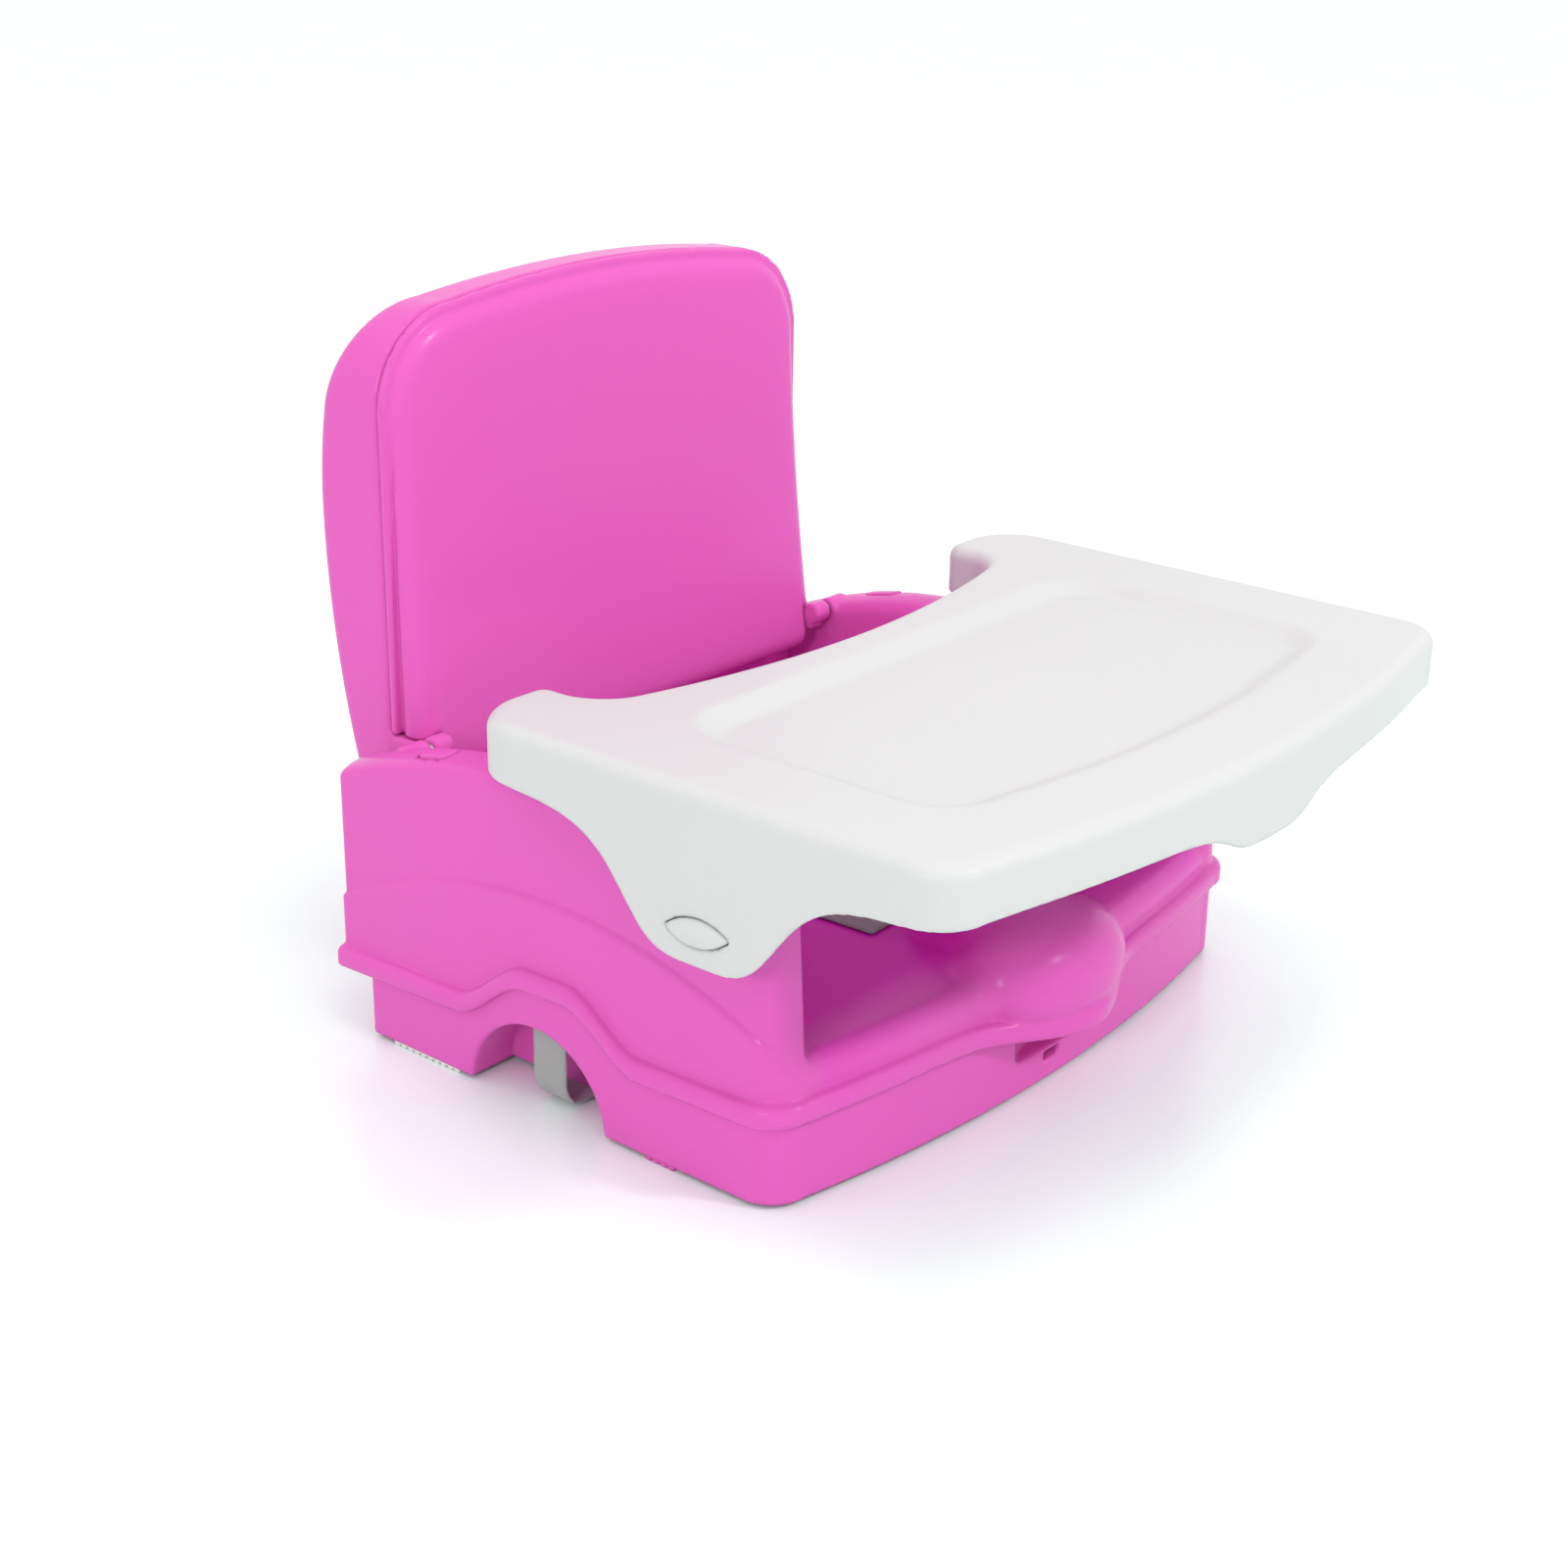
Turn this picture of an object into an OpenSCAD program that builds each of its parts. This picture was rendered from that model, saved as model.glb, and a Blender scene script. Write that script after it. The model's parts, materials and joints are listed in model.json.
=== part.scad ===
// Folding booster seat with a slide-on tray.
// X runs across the seat, the front faces -Y, and Z is up from the floor.
// The origin is on the floor, at the centre of the footprint of the whole seat.

/* [Seat] */
// Width over the bead that runs round the seat
seat_w = 360; // [350:1:364]
// Height of the crest of the arm rests
arm_top = 155; // [153:1:156]
// Height of the seat's sitting face
seat_top = 65; // [63:1:67]
// How far the front bows forward of its corners
front_bow = 16; // [10:1:18]
// Wall of the moulded shells
wall = 3; // [2.6:0.2:3.2]

/* [Backrest] */
// Width of the backrest
back_w = 286; // [280:1:286]
// Height of the backrest's top above the floor
back_top = 341; // [325:1:350]
// Depth of the rear shell at its fullest
back_depth = 43; // [36:1:43]

/* [Tray] */
// Width over the tray's side skirts
tray_w = 392; // [386:1:396]
// Height of the tray's rim above the floor
tray_top = 189; // [187:1:193]
// Depth of the skirt below the rim
skirt_h = 25; // [22:1:25]
// How far the side flaps reach below the skirt
flap_drop = 50; // [44:1:52]
// Depth of the food recess
recess_depth = 5; // [3:0.5:6]

/* [Fittings] */
// Width of the webbing
web_w = 20; // [16:1:22]
// Thickness of the webbing
web_t = 1.4; // [1.0:0.1:1.6]
// Diameter of the hinge pins
pin_d = 6; // [5:0.5:6]
// Travel of the tray's release buttons
button_travel = 2.5; // [2:0.1:2.5]

/* [Hidden] */
$fn = 48;

pink = [0.88, 0.37, 0.74];
white = [0.94, 0.94, 0.94];
grey = [0.66, 0.66, 0.65];
steel = [0.72, 0.73, 0.75];
eps = 0.01;

// Plan lines of the seat
seat_hw = seat_w / 2;
base_hw = seat_hw - 4;
arm_hw = seat_hw - 5;
arm_in = back_w / 2 + 3;
seat_front = -95;
seat_rear = 175;
base_rear = 155;
foot_h = 2;

// The side arches of the base, and the wave that the bead makes over them
arch_y = 45;
arch_r = 41.4;
arch_z = -1.4;
arch_depth = 26;
bead_h = 10;
bead_rear_z = 37;
bead_front_z = 45;
bead_rise = 23;
bead_arch_y = 37;

function wave(d) = d < 12 ? 1 : d > 56 ? 0 : 0.5 * (1 + cos(180 * (d - 12) / 44));
function bead_z(y) = bead_rear_z + (bead_front_z - bead_rear_z) * (seat_rear - y) / (seat_rear - seat_front)
    + bead_rise * wave(abs(y - bead_arch_y));
function arm_z(y) = arm_top - pow(max(y - 60, 0), 2) / 530 - pow(max(30 - y, 0), 2) / 700;

// Hinge of the backrest
hinge_y = 143;
hinge_z = 138;
knuckle_r = 5.5;
seam_y = 170;

// Tray
tray_hw = tray_w / 2;
tray_front = -192;
tray_bow = 21;
tray_ear = 66;
tray_belly = 11;
ear_in = 145;
fillet_r = 16;
skirt_z = tray_top - skirt_h;
flap_z = skirt_z - flap_drop;
flap_y = -68;
grip_drop = 14;
rib_x = 160;
button_z = 129;
rail_z = 131;
latch_gap = 0.4;
latch_z = 124;
latch_h = 5;
pivot_in = 10;
cover_in = 16.6;
cover_t = 1.5;
cover_z = 120;
cover_screw_y = [-102, -36];
cover_screw_z = skirt_z - 6;

// Harness and straps
harness_y = 62;
strap_x = seat_hw - 9.5;
anchor_z = bead_rear_z + 7.2;

// ---------------------------------------------------------------- helpers

function arc(cx, cy, r, a0, a1, n = 6) =
    [for (i = [0:n]) let (a = a0 + (a1 - a0) * i / n) [cx + r * cos(a), cy + r * sin(a)]];

// Plan outline with rounded corners and a bowed front
module bowed(hw, y0, y1, bow, rf, rr) {
    xs = hw - rf;
    polygon(concat(
        arc(hw - rr, y1 - rr, rr, 0, 90),
        arc(rr - hw, y1 - rr, rr, 90, 180),
        arc(-xs, y0 + rf, rf, 180, 270),
        [for (i = [1:9]) let (x = -xs + 2 * xs * i / 10) [x, y0 - bow * (1 - pow(x / xs, 2))]],
        arc(xs, y0 + rf, rf, 270, 360)));
}

// Extrudes a (Y, Z) outline along X, between two planes
module along_x(x0, x1) translate([x0, 0, 0]) rotate([90, 0, 90]) linear_extrude(x1 - x0) children();

// Extrudes an (X, Z) outline along Y, between two planes
module along_y(y0, y1) translate([0, y1, 0]) rotate([90, 0, 0]) linear_extrude(y1 - y0) children();

module slab(z0, z1) translate([0, 0, z0]) linear_extrude(z1 - z0) children();

module box(lo, hi) translate(lo) cube(hi - lo);

module rod_x(x0, x1, y, z, r) translate([x0, y, z]) rotate([0, 90, 0]) cylinder(r = r, h = x1 - x0);

module rod_z(x, y, z0, z1, r) translate([x, y, z0]) cylinder(r = r, h = z1 - z0);

// Draws its children once, on the left side (-1) or the right side (+1)
module side(s) mirror([s < 0 ? 1 : 0, 0, 0]) children();

module both_sides() for (s = [-1, 1]) side(s) children();

// Flat ribbon that follows a path in the (X, Z) plane
function normal2(a, b) = let (d = b - a, n = norm(d)) [-d[1], d[0]] / n;
function path_normal(p, i) =
    let (a = p[max(i - 1, 0)], b = p[min(i + 1, len(p) - 1)]) normal2(a, b);
module ribbon(p, t) polygon(concat(
    [for (i = [0:len(p) - 1]) p[i] + path_normal(p, i) * t / 2],
    [for (i = [len(p) - 1:-1:0]) p[i] - path_normal(p, i) * t / 2]));

// Coil spring along X, as a tube swept along a helix
module spring(r, wire, turns, length) {
    steps = 12 * turns;
    sides = 6;
    ring = [for (i = [0:steps]) let (a = 360 * i / 12, x = length * i / steps)
        for (k = [0:sides - 1]) let (b = 360 * k / sides, q = r + wire / 2 * cos(b))
            [x + wire / 2 * sin(b), q * cos(a), q * sin(a)]];
    tube = [for (i = [0:steps - 1]) for (k = [0:sides - 1]) let (n = (k + 1) % sides)
        [i * sides + k, i * sides + n, (i + 1) * sides + n, (i + 1) * sides + k]];
    polyhedron(ring, concat(tube,
        [[for (k = [sides - 1:-1:0]) k]], [[for (k = [0:sides - 1]) steps * sides + k]]));
}

// Side-release buckle, lying flat, with its length along X
module buckle_socket(w, l, h) difference() {
    slab(0, h) square([l, w], center = true);
    slab(1.5, h - 1.5) translate([3, 0]) square([l, w - 4], center = true);
    both_ways() rod_z(0, w / 2, -1, h + 1, w / 6);
}
module both_ways() for (m = [0, 1]) mirror([0, m, 0]) children();
module buckle_plug(w, l, h) {
    box([l / 2 + 0.3, -w / 2, 0], [l / 2 + 9, w / 2, h]);
    both_ways() box([-l / 4, w / 2 - 5, 2], [l / 2 + 1, w / 2 - 2.6, h - 2]);
}

// Countersunk screw, head down at z0
module screw(x, y, z0, length, r = 2) {
    rod_z(x, y, z0, z0 + 2, r * 2);
    rod_z(x, y, z0 + 2 - eps, z0 + length, r);
}

// ---------------------------------------------------------------- base

// Underside of the base's screw heads
screw_z = bead_rear_z - 15.7;
screw_places = [for (x = [-128, 128]) for (y = [-78, 20, 130]) [x, y]];
foot_places = [[-38, -20], [95, 140]];

// (Y, Z) outline below the bead's line, lowered by drop
module under_bead(z0, drop) polygon(concat(
    [[seat_rear + 1, z0], [seat_front - 40, z0], [seat_front - 40, bead_z(seat_front) - drop]],
    [for (y = [seat_front:6:seat_rear]) [y, bead_z(y) - drop]],
    [[seat_rear + 1, bead_z(seat_rear) - drop]]));

module base_plan(d = 0) bowed(base_hw - d, seat_front + d, base_rear - d, front_bow, 18 - d, 4 - d);

// Solid shape of one side arch, from the outside to its inner wall
module arch(r, depth) intersection() {
    rod_x(base_hw - depth, base_hw + 10, arch_y, arch_z, r);
    box([0, -100, foot_h - 1], [300, 200, 100]);
}

module lower_base() color(pink) {
    deck_z = bead_rear_z - 4;
    finger_r = 44;
    finger_y = seat_front - front_bow - finger_r + 11;
    difference() {
        union() {
            difference() {
                intersection() {
                    slab(foot_h, 80) base_plan();
                    along_x(-base_hw, base_hw) under_bead(foot_h, 1);
                }
                slab(foot_h - 1, 81) base_plan(wall);
            }
            slab(deck_z, deck_z + wall) base_plan(1);
            both_sides() intersection() {
                arch(arch_r + wall, arch_depth + wall);
                slab(foot_h, 60) base_plan(0.5);
            }
            intersection() {
                slab(foot_h, deck_z + 1) base_plan(0.5);
                rod_z(0, finger_y, 0, 60, finger_r + wall);
            }
            for (p = screw_places) rod_z(p[0], p[1], screw_z - 2.3, deck_z + 1, 6);
            both_sides() for (f = foot_places)
                box([base_hw - 24, f[0] - 2, foot_h], [base_hw - 1, f[1] + 2, 9]);
        }
        both_sides() arch(arch_r, arch_depth);
        // finger scoop and catch slot at the front
        rod_z(0, finger_y, 17, bead_front_z + 20, finger_r);
        box([-6, seat_front - front_bow - 5, 11.5], [6, seat_front - front_bow + 15, 16]);
        for (p = screw_places) {
            rod_z(p[0], p[1], 0, screw_z + 2, 4.4);
            rod_z(p[0], p[1], 0, 60, 2.3);
        }
        both_sides() {
            // seats for the feet
            for (f = foot_places) box([base_hw - 22, f[0], -1], [base_hw - 1.2, f[1], 6.2]);
            // strap slots: through the arch's crown, and under its inner wall
            box([strap_x - 3, arch_y - 16, arch_z + arch_r - 8], [strap_x + 3, arch_y + 8, 60]);
            box([base_hw - arch_depth - wall - 6, arch_y - 16, -1],
                [base_hw - arch_depth + 1, arch_y + 8, 8]);
        }
    }
}

module foot(y0, y1) {
    ribs = floor((y1 - y0) / 4.5);
    box([base_hw - 21.7, y0 + 0.3, 1.2], [base_hw - 1.5, y1 - 0.3, 6.2]);
    for (i = [0:ribs - 1]) let (y = y0 + 0.8 + i * 4.5)
        box([base_hw - 21.7, y, 0], [base_hw - 0.4, y + 3, 1.8]);
}
module front_foot(s) color(pink) side(s) foot(foot_places[0][0], foot_places[0][1]);
module rear_foot(s) color(white) side(s) foot(foot_places[1][0], foot_places[1][1]);

module base_screws() color(steel) for (p = screw_places) screw(p[0], p[1], screw_z, 36);

// ---------------------------------------------------------------- seat shell

module seat_plan(d = 0) bowed(arm_hw - d, seat_front + d, seat_rear - 1 - d, front_bow, 18 - d, 4 - d);

// (Y, Z) outline of an arm rest, shrunk by d
module arm_side(d, z0) polygon(concat(
    [[seat_rear - d, z0], [seat_front - 20, z0], [seat_front - 20, bead_front_z + 7],
     [seat_front - 4 + d, seat_top + 2], [seat_front + 2 + d, seat_top + 52],
     [seat_front + 6 + d, arm_z(seat_front + 16) - 8 - d],
     [seat_front + 15 + d, arm_z(seat_front + 16) - d]],
    [for (y = [-70:12:158]) [y, arm_z(y) - d]],
    [[seat_rear - 8 - d, arm_z(seat_rear - 8) - d], [seat_rear - d, arm_z(seat_rear) - 6 - d]]));

// Part of the plan that one arm rest covers; it narrows towards the front
module arm_plan(d) intersection() {
    seat_plan(d);
    polygon([[arm_in + d, 200], [300, 200], [300, -200],
        [arm_in + 8 + d, -200], [arm_in + 8 + d, -90], [arm_in + d, -40]]);
}

module arm_rest() difference() {
    intersection() {
        slab(bead_rear_z - 3, 200) arm_plan(0);
        along_x(0, 200) difference() {
            arm_side(0, bead_rear_z - 3);
            under_bead(0, -0.6);
        }
    }
    intersection() {
        slab(0, 200) arm_plan(wall);
        along_x(0, 200) arm_side(wall, 0);
    }
}

module bead() intersection() {
    difference() {
        slab(0, 90) bowed(seat_hw, seat_front - 4, seat_rear, front_bow, 20, 5);
        slab(-1, 91) bowed(base_hw + 0.3, seat_front - 0.3, seat_rear - 4, front_bow, 18, 3);
    }
    along_x(-seat_hw, seat_hw) difference() {
        under_bead(0, -bead_h / 2);
        translate([0, -eps]) under_bead(-5, bead_h / 2);
    }
}

// Saddle between the legs, with a nose over the front edge; d is the wall to leave
module pommel(d) hull() {
    for (x = [-24, 24]) translate([x, -110, seat_top - 8]) sphere(r = 26 - d, $fn = 32);
    translate([0, -66, seat_top + 8]) sphere(r = 25 - d, $fn = 32);
    translate([0, -14, seat_top - 4]) sphere(r = 10 - d, $fn = 24);
}

module seat_pan() {
    floor_z = bead_rear_z + 0.6;
    difference() {
        union() {
            hull() {
                slab(floor_z, seat_top - 7) intersection() {
                    seat_plan();
                    square([2 * arm_in + 6, 400], center = true);
                }
                slab(floor_z, seat_top) bowed(arm_in + 2, seat_front + 5, seat_rear - 1, front_bow, 20, 2);
            }
            intersection() {
                pommel(0);
                slab(bead_front_z - 3, 120) square(400, center = true);
            }
        }
        hull() {
            slab(floor_z - 1, seat_top - 9)
                bowed(arm_in - 0.5, seat_front + wall, seat_rear - 4, front_bow, 20, 2);
            slab(floor_z - 1, seat_top - wall)
                bowed(arm_in - 1, seat_front + 8, seat_rear - 4, front_bow, 18, 2);
        }
        intersection() {
            pommel(wall);
            slab(bead_front_z, 120) square(400, center = true);
        }
        // room for the front wall of the base
        slab(0, bead_front_z - 0.6) difference() {
            translate([-200, -200]) square([400, 210]);
            base_plan(wall + 0.4);
        }
        // room for the walls round the side arches of the base
        both_sides() arch(arch_r + wall + 0.4, arch_depth + wall + 0.4);
    }
}

module seat_shell() color(pink) {
    lug_x = arm_in + wall;
    difference() {
        union() {
            bead();
            seat_pan();
            both_sides() {
                arm_rest();
                // ear that holds the hinge pin
                rod_x(arm_in, lug_x + 9, hinge_y, hinge_z, knuckle_r);
                // rail for the tray's latch
                box([arm_hw - 1, seat_front + 30, rail_z], [arm_hw + 3.6, 20, rail_z + 4]);
                // well under the fold button
                slab(fold_top - 27, fold_top - 3.5) pill(7.4);
            }
            // rear wall below the backrest
            box([-arm_in - 1, seat_rear - 4, bead_rear_z + 0.6], [arm_in + 1, seat_rear - 1, back_foot - 3]);
            for (p = screw_places) rod_z(p[0], p[1], bead_rear_z - 0.7, seat_top - 1, 6);
        }
        for (p = screw_places) rod_z(p[0], p[1], screw_z, screw_z + 36.7, 2);
        both_sides() {
            rod_x(arm_in - 5, lug_x + 7, hinge_y, hinge_z, pin_d / 2);
            slab(fold_top - 24, arm_top + 10) pill(5.4);
            // slots for the waist straps in the rear of the seat, and for the back strap
            box([96, 140, seat_top - 6], [96 + web_w + 3, 144, seat_top + 1]);
            box([122, seat_rear - 10, back_strap_z - 1.5], [126, seat_rear + 5, back_strap_z + web_w + 1.5]);
        }
        // slot for the crotch strap
        box([-web_w / 2 - 1.5, 0, seat_top - 12], [web_w / 2 + 1.5, 4, seat_top + 14]);
    }
}

module hinge_pin(s) color(steel) side(s)
    rod_x(back_w / 2 - 9, arm_in + wall + 6, hinge_y, hinge_z, pin_d / 2);

// ---------------------------------------------------------------- fold lock

fold_x = 162;
fold_y = 116;
fold_top = arm_z(fold_y);

// Plan of a button with round ends, long along Y
module pill(r) translate([fold_x, fold_y]) {
    square([2 * r, 10], center = true);
    for (y = [-5, 5]) translate([0, y]) circle(r = r);
}

module fold_button(s) color(pink) side(s) {
    intersection() {
        slab(fold_top - 15, arm_top + 10) pill(5.1);
        along_x(fold_x - 10, fold_x + 10) arm_side(-0.6, 0);
    }
    rod_z(fold_x, fold_y, fold_top - 20, fold_top - 15 + eps, 2.5);
}
module fold_spring(s) color(steel) side(s)
    translate([fold_x, fold_y, fold_top - 23.4]) rotate([0, -90, 0]) spring(3.8, 0.8, 4, 7.6);

// ---------------------------------------------------------------- straps

// Under-chair strap: anchored in the arm, down through the arch, and under the base
chair_path = concat(
    [[strap_x - 20, anchor_z], [strap_x - 6, anchor_z]],
    arc(strap_x - 6, anchor_z - 6, 6, 75, 0, 4),
    arc(strap_x - 9, 12.5, 9, 0, -90, 5),
    [[base_hw - arch_depth - 10, 3.5], [120, 6], [80, 11], [22, 11]]);

module chair_strap(s) color(grey) side(s)
    along_y(arch_y - 14, arch_y - 14 + web_w) ribbon(chair_path, web_t);

module strap_anchor(s) color(steel) side(s) {
    box([strap_x - 19, arch_y - 13, anchor_z + 0.9], [strap_x - 9, arch_y + 5, anchor_z + 2.5]);
    rod_z(strap_x - 14, arch_y - 2, anchor_z - 3.2, anchor_z + 0.9 + eps, 2);
}

module chair_buckle_socket() color("dimgray") translate([-4.5, arch_y - 4, 6]) buckle_socket(30, 34, 10);
module chair_buckle_plug() color("dimgray") translate([-4.5, arch_y - 4, 6]) buckle_plug(28, 34, 10);

// Strap for the back of the chair, across the rear wall
back_strap_z = seat_top + 7.5;
module back_strap(s) color(grey) side(s)
    slab(back_strap_z, back_strap_z + web_w) polygon([
        [124.6, seat_rear - 10], [124.6, seat_rear + 1.6], [34, seat_rear + 4.6], [25, seat_rear + 4.6],
        [25, seat_rear + 3.2], [34, seat_rear + 3.2], [123.2, seat_rear + 0.2], [123.2, seat_rear - 10]]);
module back_buckle(is_plug) color("dimgray")
    translate([-4.5, seat_rear + 10, back_strap_z + web_w / 2]) rotate([90, 0, 0])
        if (is_plug) buckle_plug(28, 40, 9.5); else buckle_socket(30, 40, 9.5);
module back_buckle_socket() back_buckle(false);
module back_buckle_plug() back_buckle(true);

// Harness that holds the child
module crotch_strap() color(grey) along_x(-web_w / 2, web_w / 2)
    ribbon([[2, seat_top - 10], [2, seat_top + 8], [5, seat_top + 13], [11, seat_top + 14],
            [24, seat_top + 8], [harness_y - 18, seat_top + 4.6], [harness_y - 12, seat_top + 4.6]], web_t);
module waist_strap(s) color(grey) side(s) {
    slab(seat_top + 3.2, seat_top + 3.2 + web_t)
        ribbon([[26, harness_y], [44, harness_y + 1], [66, 72], [86, 91], [101, 114], [107.5, 141.6]],
                web_w);
    box([98, 140.6, seat_top - 5], [117, 140.6 + web_t, seat_top + 3.2 + eps]);
}
// Loose end of the left waist strap, pulled through its prong and laid towards the front
module strap_tail() color(grey) slab(seat_top + 0.5, seat_top + 0.5 + web_t)
    ribbon([[-36, 50], [-37, 34], [-36, 10], [-34, -14], [-33, -38]], web_w);
module harness_buckle() color("dimgray") translate([0, harness_y, seat_top + 0.4]) difference() {
    slab(0, 9) polygon(concat(arc(9, -3, 8, -90, 0, 3), [[17, 9]], [[-17, 9]], arc(-9, -3, 8, 180, 270, 3)));
    box([-18, 0, 2], [18, 7, 7]);
}
module harness_prong(s) color("dimgray") side(s) translate([0, harness_y, seat_top + 0.4]) {
    box([17.3, -10, 0.6], [25.7, 10, 7]);
    box([3, 1, 2.6], [17.6, 6, 6.4]);
}

// ---------------------------------------------------------------- backrest

back_hw = back_w / 2;
back_foot = 116;
back_full_z = 240;

// (X, Z) outline with round top corners and an arched top edge
module back_outline(d) {
    r = 45 - d;
    hw = back_hw - d;
    top = back_top - 7 - d;
    rise = 7;
    xs = hw - r;
    polygon(concat(
        [[-hw, back_foot + d], [hw, back_foot + d]],
        arc(xs, top - r, r, 0, 90, 8),
        [for (i = [1:7]) let (x = xs - 2 * xs * i / 8) [x, top + rise * (1 - pow(x / xs, 2))]],
        arc(-xs, top - r, r, 90, 180, 8)));
}

function rear_y(z) = seam_y + back_depth * (1 - pow((z - back_full_z) / (z < back_full_z ? 198 : 140), 2));
function panel_y(z) = seam_y - 8 - 20 * pow((back_top - z) / (back_top - back_foot), 2);

module back_rear_shell() color(pink) {
    difference() {
        union() {
            intersection() {
                along_y(seam_y, 300) back_outline(0);
                along_x(-200, 200) polygon(concat(
                    [[seam_y, back_foot]], [for (z = [back_foot:9:back_top + 8]) [rear_y(z), z]],
                    [[seam_y, back_top + 8]]));
            }
        }
        intersection() {
            along_y(seam_y - 1, 300) back_outline(wall);
            along_x(-200, 200) polygon(concat(
                [[seam_y - 1, back_foot]], [for (z = [back_foot:9:back_top + 8]) [rear_y(z) - wall, z]],
                [[seam_y - 1, back_top + 8]]));
        }
    }
    both_sides() difference() {
        union() {
            // knuckle that turns on the hinge pin, and the web that carries it
            rod_x(back_hw - 11, back_hw, hinge_y, hinge_z, knuckle_r);
            box([back_hw - 11, hinge_y, hinge_z - 9], [back_hw, seam_y + 12, hinge_z]);
        }
        rod_x(back_hw - 20, back_hw + 5, hinge_y, hinge_z, pin_d / 2 + 0.05);
    }
    for (p = back_screw_places) difference() {
        translate([p[0], seam_y + 0.3, p[1]]) rotate([-90, 0, 0])
            cylinder(r = 5, h = rear_y(p[1]) - seam_y - 1);
        translate([p[0], seam_y - 1, p[1]]) rotate([-90, 0, 0]) cylinder(r = 2, h = 80);
    }
}

back_screw_places = [for (x = [-100, 100]) for (z = [165, 295]) [x, z]];

module back_front_panel() color(pink) difference() {
    intersection() {
        along_y(100, seam_y - 0.2) back_outline(0.4);
        along_x(-200, 200) polygon(concat(
            [[seam_y - 0.2, back_foot]], [for (z = [back_foot:9:back_top + 8]) [panel_y(z), z]],
            [[seam_y - 0.2, back_top + 8]]));
    }
    // hollow behind the face
    intersection() {
        along_y(100, seam_y + 1) back_outline(4);
        along_x(-200, 200) polygon(concat(
            [[seam_y + 1, back_foot]], [for (z = [back_foot:9:back_top + 8]) [panel_y(z) + wall, z]],
            [[seam_y + 1, back_top + 8]]));
    }
    // notches for the hinge knuckles
    both_sides() {
        box([back_hw - 12, 90, 90], [back_hw + 5, seam_y + 5, hinge_z + 0.8]);
        rod_x(back_hw - 12, back_hw + 5, hinge_y, hinge_z, knuckle_r + 1);
    }
}

module back_screws() color(steel) for (p = back_screw_places)
    translate([p[0], rear_y(p[1]) + 0.4, p[1]]) rotate([90, 0, 0])
        screw(0, 0, -1, rear_y(p[1]) - seam_y - 3);

// ---------------------------------------------------------------- tray

// Plan of the tray, shrunk by d: bowed front, ears beside the child, curved belly edge
module tray_plan(d = 0) difference() {
    bowed(tray_hw - d, tray_front + d, tray_ear - d, tray_bow, 22 - d, 28 - d);
    polygon(concat(
        [for (i = [0:12]) let (x = (i / 6 - 1) * (ear_in - fillet_r))
            [x, tray_belly - d + 18 * pow(x / (ear_in - fillet_r), 2)]],
        arc(ear_in - fillet_r, tray_belly + 18 + fillet_r, fillet_r + d, -72, 0, 5),
        [[ear_in + d, 90], [-ear_in - d, 90]],
        arc(fillet_r - ear_in, tray_belly + 18 + fillet_r, fillet_r + d, 180, 252, 5)));
}

// (Y, Z) outline of a side flap: a lobe that hangs below the skirt
function lobe(d, half_w) = 1 / (1 + pow(abs(d) / half_w, 4.4));
module flap_side() polygon(concat(
    [[tray_ear, skirt_z + 0.5]],
    [for (y = [tray_ear:-6:tray_front + 30]) [y, skirt_z - flap_drop * lobe(y - flap_y, 44)]],
    [[tray_front + 30, skirt_z + 0.5]]));

// (X, Z) outline of the grip lobe in the middle of the front skirt
module lobe_front() polygon(concat(
    [[-80, skirt_z + 0.5]],
    [for (x = [-80:8:80]) [x, skirt_z - grip_drop * lobe(x, 36)]],
    [[80, skirt_z + 0.5]]));

module recess_plan(d) bowed(158 - d, tray_front + 26 + d, tray_belly - 12 - d, 10, 30 - d, 26 - d);

module tray_shell() color(white) difference() {
    union() {
        difference() {
            union() {
                slab(skirt_z, tray_top) tray_plan();
                intersection() {
                    slab(flap_z - 5, skirt_z + 1) tray_plan();
                    union() {
                        both_sides() along_x(150, 220) flap_side();
                        along_y(tray_front - 30, tray_front + 20) lobe_front();
                    }
                }
            }
            slab(flap_z - 10, tray_top - wall) tray_plan(wall);
        }
        slab(tray_top - wall - recess_depth, tray_top - 1) recess_plan(-wall);
        // bosses for the latch covers
        both_sides() for (y = cover_screw_y) rod_x(tray_hw - 8.7, tray_hw - 1, y, cover_screw_z, 4);
        // ribs that rest on the crests of the arms
        both_sides() box([rib_x, 4, arm_top + 0.3], [rib_x + wall, 56, tray_top - 1]);
    }
    slab(tray_top - recess_depth, tray_top + 1) recess_plan(0);
    both_sides() {
        along_x(tray_hw - 20, tray_hw + 5) leaf(latch_gap);
        for (y = cover_screw_y) rod_x(tray_hw - 20, tray_hw - 3, y, cover_screw_z, 1.5);
    }
}

// Leaf outline of a release button, in (Y, Z), grown by g
module leaf(g) {
    r = 27;
    translate([flap_y, button_z]) rotate(-4) intersection() {
        translate([0, 21]) circle(r = r + g, $fn = 96);
        translate([0, -21]) circle(r = r + g, $fn = 96);
    }
}

// Button: the leaf outside, a flange behind the wall, and a stem towards the lever
module tray_button(s) color(white) side(s) {
    flange_in = button_travel + 1.7;
    along_x(tray_hw - 3.5, tray_hw + 1.6) leaf(0);
    along_x(tray_hw + 1.6 - eps, tray_hw + 3) leaf(-1.2);
    box([tray_hw - flange_in, flap_y - 18, cover_z], [tray_hw - 3.3, flap_y + 18, cover_z + 19.5]);
    rod_x(tray_hw - pivot_in + 0.4, tray_hw - flange_in + eps, flap_y - 12, latch_z + latch_h / 2, 2);
}

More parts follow.
